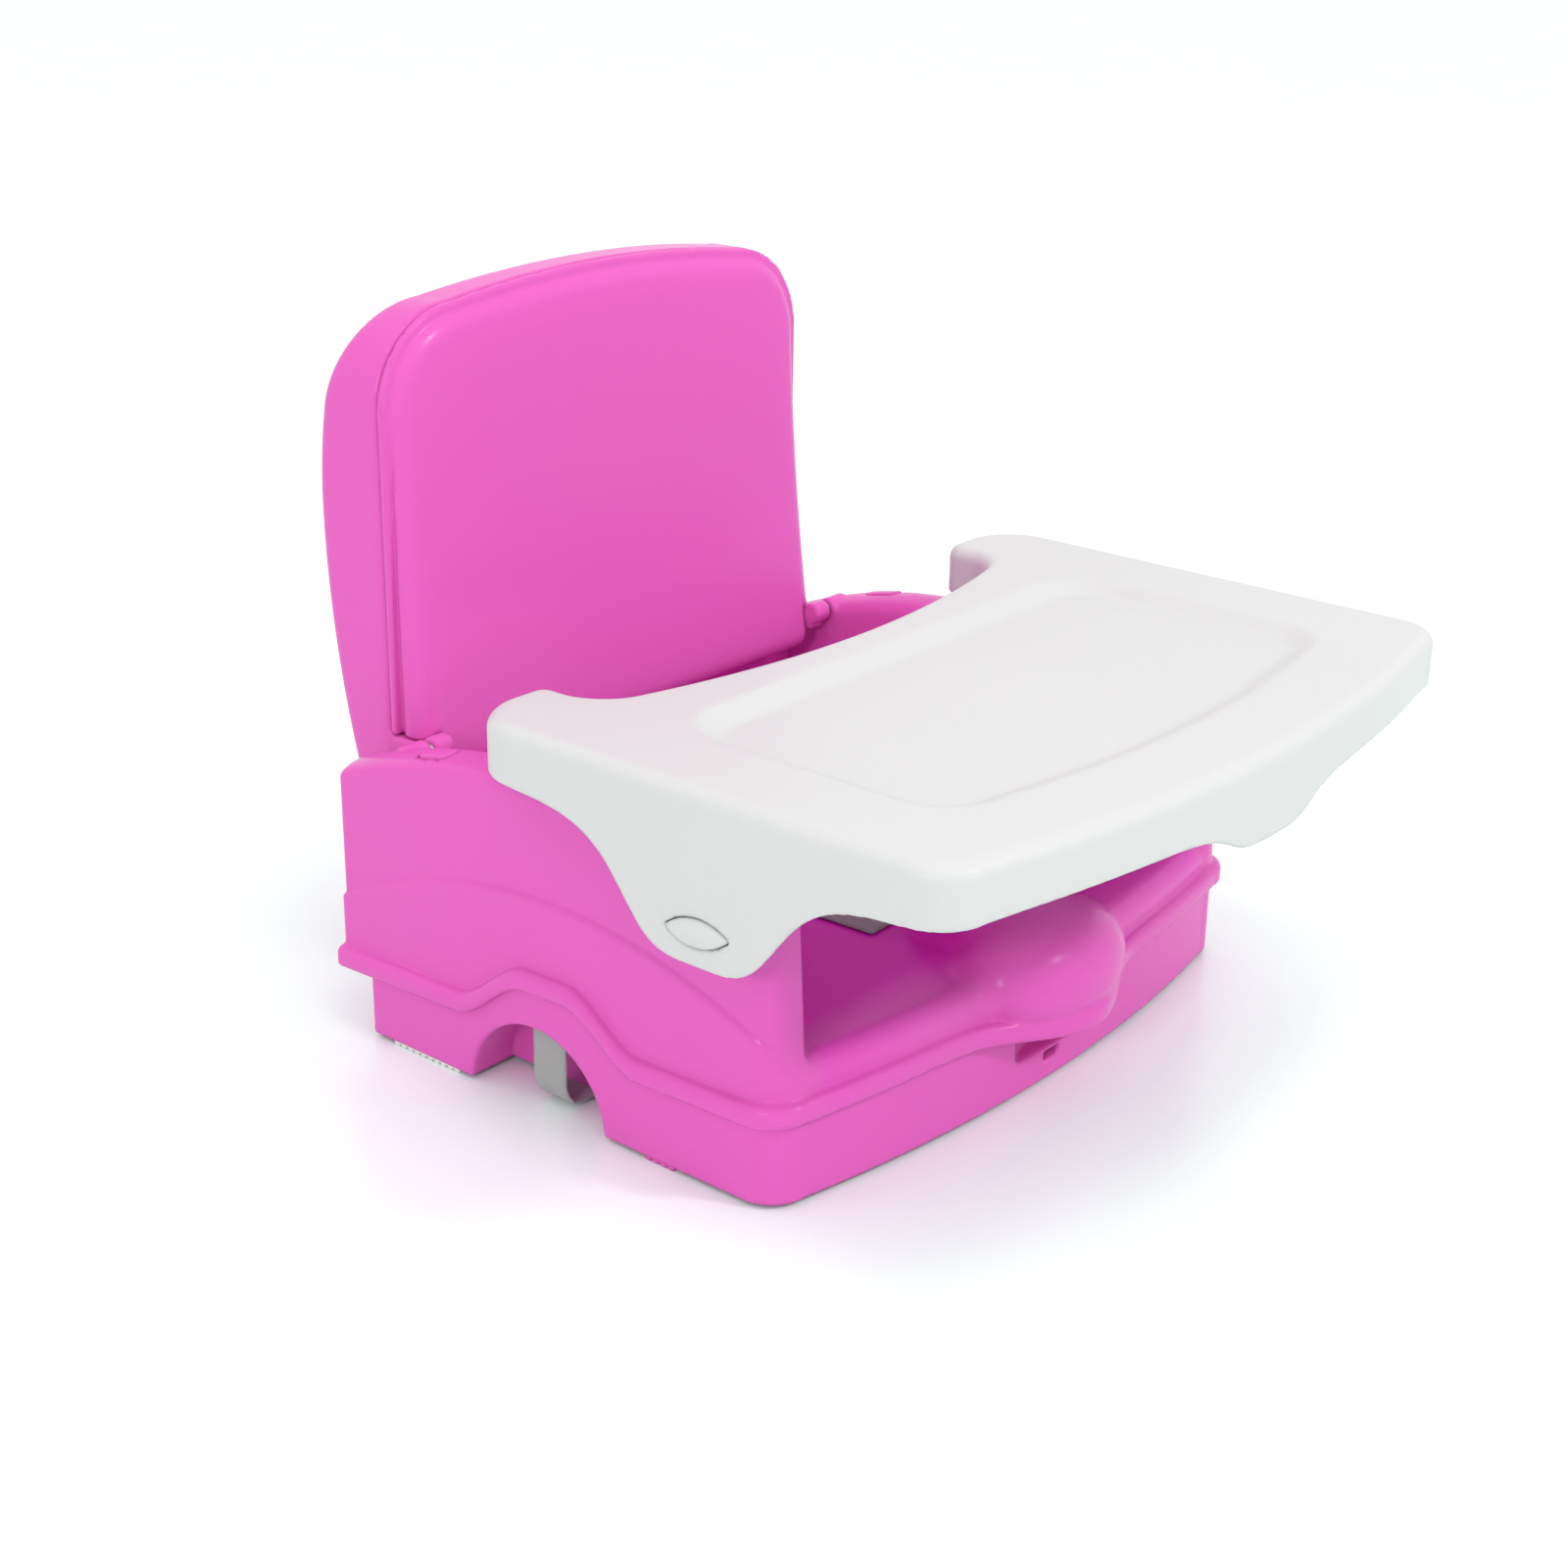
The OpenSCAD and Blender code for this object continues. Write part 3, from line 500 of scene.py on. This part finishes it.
class Nodes:
    """Short way to write a node material."""

    def __init__(self, name):
        self.material = bpy.data.materials.new(name)
        self.material.use_nodes = True
        self.tree = self.material.node_tree
        self.shader = self.tree.nodes["Principled BSDF"]

    def add(self, kind, links=None, **values):
        node = self.tree.nodes.new("ShaderNode" + kind)
        for key, value in values.items():
            setattr(node, key, value)
        for key, value in (links or {}).items():
            self.join(value, node.inputs[key])
        return node

    def join(self, value, socket):
        """Links another node's output to a socket, or sets the socket's own value."""
        if hasattr(value, "is_output"):
            self.tree.links.new(value, socket)
        else:
            socket.default_value = value

    def set(self, **values):
        for key, value in values.items():
            socket = key.replace("_", " ").title().replace("Ior", "IOR")
            self.join(value, self.shader.inputs[socket])

    def math(self, operation, *values):
        return self.add("Math", dict(enumerate(values)), operation=operation).outputs[0]

    def place(self):
        """Position on the object, in metres."""
        return self.add("TexCoord").outputs["Object"]

    def noise(self, scale, detail=2.0, rough=0.5):
        return self.add("TexNoise", {"Vector": self.place(), "Scale": scale, "Detail": detail,
                                     "Roughness": rough}).outputs["Fac"]

    def between(self, fac, lo, hi):
        """lo at 0, hi at 1."""
        return self.add("MapRange", {"Value": fac, "To Min": lo, "To Max": hi}).outputs["Result"]

    def within(self, value, start, full):
        """0 at start, 1 at full."""
        node = self.add("MapRange", {"Value": value, "From Min": start, "From Max": full})
        return node.outputs["Result"]

    def colours(self, fac, a, b):
        """Colour a where fac is 0, colour b where it is 1."""
        mix = self.add("Mix", data_type="RGBA")
        self.join(fac, mix.inputs[0])
        for socket, value in ((mix.inputs[6], a), (mix.inputs[7], b)):
            self.join(value if hasattr(value, "is_output") else (*value, 1), socket)
        return mix.outputs[2]

    def relief(self, height, distance, strength=1.0):
        self.set(normal=self.add("Bump", {"Height": height, "Distance": distance,
                                          "Strength": strength}).outputs["Normal"])


# Specular level of the pink plastics, and the lower one where shade is painted in the seat's well
GLOSS, PAINTED_SHADE_GLOSS = 0.16, 0.03
# Painted shade in the seat's well, under the tray, in metres: where it starts, and where it is
# full
PAINTED_SHADE_X, PAINTED_SHADE_FRONT, PAINTED_SHADE_REAR, PAINTED_SHADE_TOP = (
    (0.152, 0.143), (-0.105, -0.07), (0.1735, 0.172), (0.13, 0.085))


def gloss_plastic(name, colour, roughness, grain, painted_shade=None):
    """Injection-moulded plastic: faint orange peel and slow changes of tone.

    Its last argument, when given, is a darker, more saturated pink painted as shade in the seat's
    well under the tray, told by its place on the object; there the gloss is lower too.
    """
    n = Nodes(name)
    tone = n.colours(n.noise(6, 1), colour, [c * 0.97 for c in colour])
    gloss = GLOSS
    if painted_shade:
        # Painted shade: in the seat's well, under the tray, the pink turns darker and more
        # saturated, and its gloss drops
        x, y, z = n.add("SeparateXYZ", {0: n.place()}).outputs
        well = n.within(n.math("ABSOLUTE", x), *PAINTED_SHADE_X)
        for value, limits in ((y, PAINTED_SHADE_FRONT), (y, PAINTED_SHADE_REAR), (z, PAINTED_SHADE_TOP)):
            well = n.math("MULTIPLY", well, n.within(value, *limits))
        tone = n.colours(well, tone, painted_shade)
        gloss = n.between(well, GLOSS, PAINTED_SHADE_GLOSS)
    n.set(base_color=tone)
    n.set(roughness=n.between(n.noise(40, 2), roughness - 0.02, roughness + 0.02))
    n.set(subsurface_weight=0.06, subsurface_scale=0.004, specular_ior_level=gloss)
    peel = n.math("ADD", n.noise(260, 2), n.between(n.noise(grain, 3, 0.6), 0, 0.35))
    n.relief(peel, 0.00002, 0.25)
    return n.material


WARP_PITCH, WEFT_PITCH = 1.1, 1.5       # mm


def webbing(name, colour):
    """Woven tape: ribs across it, crossed by fine warp threads, laid out in its own lengths."""
    n = Nodes(name)
    where = n.add("Attribute", attribute_name="weave").outputs["Vector"]
    across, along, _ = n.add("SeparateXYZ", {0: where}).outputs
    warp = n.math("SINE", n.math("MULTIPLY", across, 2 * math.pi / WARP_PITCH))
    weft = n.math("SINE", n.math("MULTIPLY", along, 2 * math.pi / WEFT_PITCH))
    ribs = n.math("MULTIPLY_ADD", n.math("MULTIPLY", warp, weft), weft, 0.8)
    fuzz = n.math("ADD", n.noise(900, 3), ribs)
    n.set(base_color=n.colours(n.between(fuzz, 0.1, 0.9), [c * 0.62 for c in colour], colour))
    n.set(roughness=0.82, sheen_weight=0.25)
    n.relief(fuzz, 0.00022, 0.9)
    return n.material


def textured_plastic(name, colour, roughness):
    """Spark-eroded black plastic of buckles."""
    n = Nodes(name)
    n.set(base_color=n.colours(n.noise(40), colour, [c * 1.5 for c in colour]))
    n.set(roughness=n.between(n.noise(300), roughness - 0.06, roughness + 0.08))
    n.relief(n.noise(1600, 3, 0.7), 0.00005, 0.6)
    return n.material


def rubber(name, colour):
    """Matt rubber of the feet, a little uneven in tone."""
    n = Nodes(name)
    n.set(base_color=n.colours(n.noise(60, 4), colour, [c * 0.85 for c in colour]))
    n.set(roughness=n.between(n.noise(220), 0.55, 0.75))
    n.relief(n.noise(900, 3), 0.00005, 0.5)
    return n.material


def plated_steel(name):
    """Zinc-plated steel of screws, pins and springs."""
    n = Nodes(name)
    n.set(base_color=n.colours(n.noise(120, 4), (0.62, 0.63, 0.65), (0.5, 0.5, 0.5)), metallic=1.0)
    n.set(roughness=n.between(n.noise(500, 4), 0.22, 0.42))
    return n.material


# The second colour is painted shade: a darker, more saturated pink for the seat's well under the
# tray
PINK_COLOUR, PAINTED_SHADE_COLOUR = (0.70, 0.108, 0.465), (0.75, 0.03, 0.53)
PINK = gloss_plastic("pink_plastic", PINK_COLOUR, 0.24, 30)
# The seat's pink, with shade painted in its well
PINK_SEAT_PAINTED_SHADE = gloss_plastic("pink_seat_plastic_painted_shade", PINK_COLOUR, 0.24, 30, PAINTED_SHADE_COLOUR)
WHITE = gloss_plastic("white_plastic", (0.60, 0.60, 0.60), 0.34, 40)
WEB = webbing("grey_webbing", (0.37, 0.37, 0.365))
BLACK = textured_plastic("buckle_plastic", (0.035, 0.035, 0.038), 0.5)
PINK_RUBBER = rubber("pink_rubber", (0.68, 0.09, 0.44))
WHITE_RUBBER = rubber("white_rubber", (0.74, 0.74, 0.72))
STEEL = plated_steel("plated_steel")


# ---------------------------------------------------------------- the pieces

SIDES = {"left": -1, "right": 1}
FINER = FINE * 0.8
FEET = (("front_foot_", (-38, -20), "pink_rubber", PINK_RUBBER),
        ("rear_foot_", (95, 140), "white_rubber", WHITE_RUBBER))
moulded("base_skin", lower_base, "lower_base", "base", PINK, step=FINER)
moulded("seat_skin", seat_shell, "seat_shell", "base", PINK_SEAT_PAINTED_SHADE, step=FINER,
        margin=8)
moulded("back_shell_skin", back_rear_shell, "back_rear_shell", "backrest", PINK)
moulded("back_panel_skin", back_front_panel, "back_front_panel", "backrest", PINK,
        step=FINER)
moulded("tray_skin", tray_shell, "tray_shell", "tray", WHITE, step=FINER)
for end, s in SIDES.items():
    for kind, shape, slot, look in (("tray_button_", tray_button, "white_tray", WHITE),
                                    ("fold_button_", fold_button, "pink_shell", PINK)):
        moulded(kind + "skin_" + end, one_side(shape, s), kind + end, kind + end, look,
                step=0.6, margin=2)
    for where, ends, slot, look in FEET:
        shape = one_side(lambda x, y, z, ends=ends: foot(x, y, z, *ends), s)
        moulded(where + "skin_" + end, shape, where + end, "base", look, step=0.5, margin=2)

for end, s in SIDES.items():
    bends = [[STRAP_X - 20, 44.2], [STRAP_X - 6, 44.2], [STRAP_X - 1, 42], [STRAP_X, 37],
             [STRAP_X, 24], [STRAP_X, 13], [STRAP_X - 3.5, 6], [STRAP_X - 9, 3.5],
             [140, 3.5], [120, 6], [80, 11], [22, 11]]
    path = [(s * x, ARCH_Y - 4, z) for x, z in bends]
    ribbon("chair_web_" + end, path, "chair_strap_" + end, across=(0, 1, 0))
    bends = [[124, SEAT_REAR - 10], [123.9, SEAT_REAR + 1],
             [34, SEAT_REAR + 3.9], [25, SEAT_REAR + 3.9]]
    path = [(s * x, y, SEAT_TOP + 7.5 + WEB_W / 2) for x, y in bends]
    ribbon("back_web_" + end, path, "back_strap_" + end, across=(0, 0, 1))
    bends = [[26, HARNESS_Y], [44, HARNESS_Y + 1], [66, 72], [86, 91], [101, 114], [107.5, 139]]
    path = [(s * x, y, SEAT_TOP + 3.9) for x, y in bends]
    path += [(s * 107.8, 141.3, 66), (s * 107.8, 141.3, 60)]
    ribbon("waist_web_" + end, path, "waist_strap_" + end, face=(0, -0.3, 1))
bends = [[-36, 50], [-37, 34], [-36, 10], [-34, -14], [-33, -38]]
path = [(x, y, SEAT_TOP + 1.2) for x, y in bends]
ribbon("strap_tail_web", path, "strap_tail", face=(0, 0, 1))
bends = [[2, 55], [2, 73], [5, 78], [11, 79], [24, 73], [44, 69.6], [50, 69.6]]
ribbon("crotch_web", [(0, y, z) for y, z in bends], "crotch_strap", across=(1, 0, 0))

# The CAD nodes whose shapes stay get a finished material
LOOKS = {"dark_buckle": BLACK, "steel": STEEL, "white_tray": WHITE}
slots = {p["node"]: p["material_slot"] for p in frame["record"]["subparts"]}
for name, node in frame["nodes"].items():
    if slots[name] in LOOKS:
        node.data.materials.clear()
        node.data.materials.append(LOOKS[slots[name]])


# ---------------------------------------------------------------- camera, floor and light

LENS, CAMERA_AT, CAMERA_TURN = 57.066, (-0.8587, -0.6619, 0.5464), (-50.331, 21.667, 0.847)
FLOOR_REACH = 90000                     # mm to each side, so that no horizon shows
FLOOR_COLOURS = (0.88, 0.98, 0.955), (0.89, 0.99, 0.965)
LAMP_TARGET, WORLD_STRENGTH = (0, 0, 0.15), 1.05
LAMPS = (("key", (0.5, -1.7, 1.5), 0.28, 12),           # place, diameter in metres, and watts
         ("top", (-0.3, -0.4, 2.2), 0.6, 6),
         ("left", (-1.9, -0.5, 0.9), 0.28, 7))


def camera():
    """The camera of the picture: its place, where it looks, and its lens."""
    data = bpy.data.cameras.new("camera")
    data.sensor_width, data.lens = 36.0, LENS
    obj = bpy.data.objects.new("camera", data)
    bpy.context.scene.collection.objects.link(obj)
    yaw, pitch, roll = (math.radians(v) for v in CAMERA_TURN)
    ahead = Vector((-math.sin(yaw) * math.cos(pitch), math.cos(yaw) * math.cos(pitch),
                    -math.sin(pitch)))
    level = Vector((math.cos(yaw), math.sin(yaw), 0))
    above = level.cross(ahead)
    right = math.cos(roll) * level + math.sin(roll) * above
    up = -math.sin(roll) * level + math.cos(roll) * above
    rows = [(*axes, p) for axes, p in zip(zip(right, up, -ahead), CAMERA_AT)]
    obj.matrix_world = Matrix(rows + [(0, 0, 0, 1)])
    bpy.context.scene.camera = obj


def lamp(name, place, size, watts):
    """A round soft lamp that faces the seat."""
    data = bpy.data.lights.new(name, "AREA")
    data.shape, data.size, data.energy = "DISK", size, watts
    obj = bpy.data.objects.new(name, data)
    bpy.context.scene.collection.objects.link(obj)
    obj.location = place
    obj.rotation_mode = "QUATERNION"
    obj.rotation_quaternion = (Vector(LAMP_TARGET) - Vector(place)).to_track_quat("-Z", "Y")


def floor():
    corners_xy = ((-1, -1), (1, -1), (1, 1), (-1, 1))
    obj = mesh_object("floor", [(i * FLOOR_REACH, j * FLOOR_REACH, 0) for i, j in corners_xy],
                      [(0, 1, 2, 3)], smooth=False)
    n = Nodes("floor_paint")
    n.set(base_color=n.colours(n.noise(3), *FLOOR_COLOURS), roughness=0.22)
    obj.data.materials.append(n.material)


camera()
floor()
world = bpy.data.worlds.new("studio")
world.use_nodes = True
background = world.node_tree.nodes["Background"]
background.inputs["Color"].default_value = (1, 1, 1, 1)
background.inputs["Strength"].default_value = WORLD_STRENGTH
bpy.context.scene.world = world
bpy.context.scene.view_settings.view_transform = "Standard"
for settings in LAMPS:
    lamp(*settings)
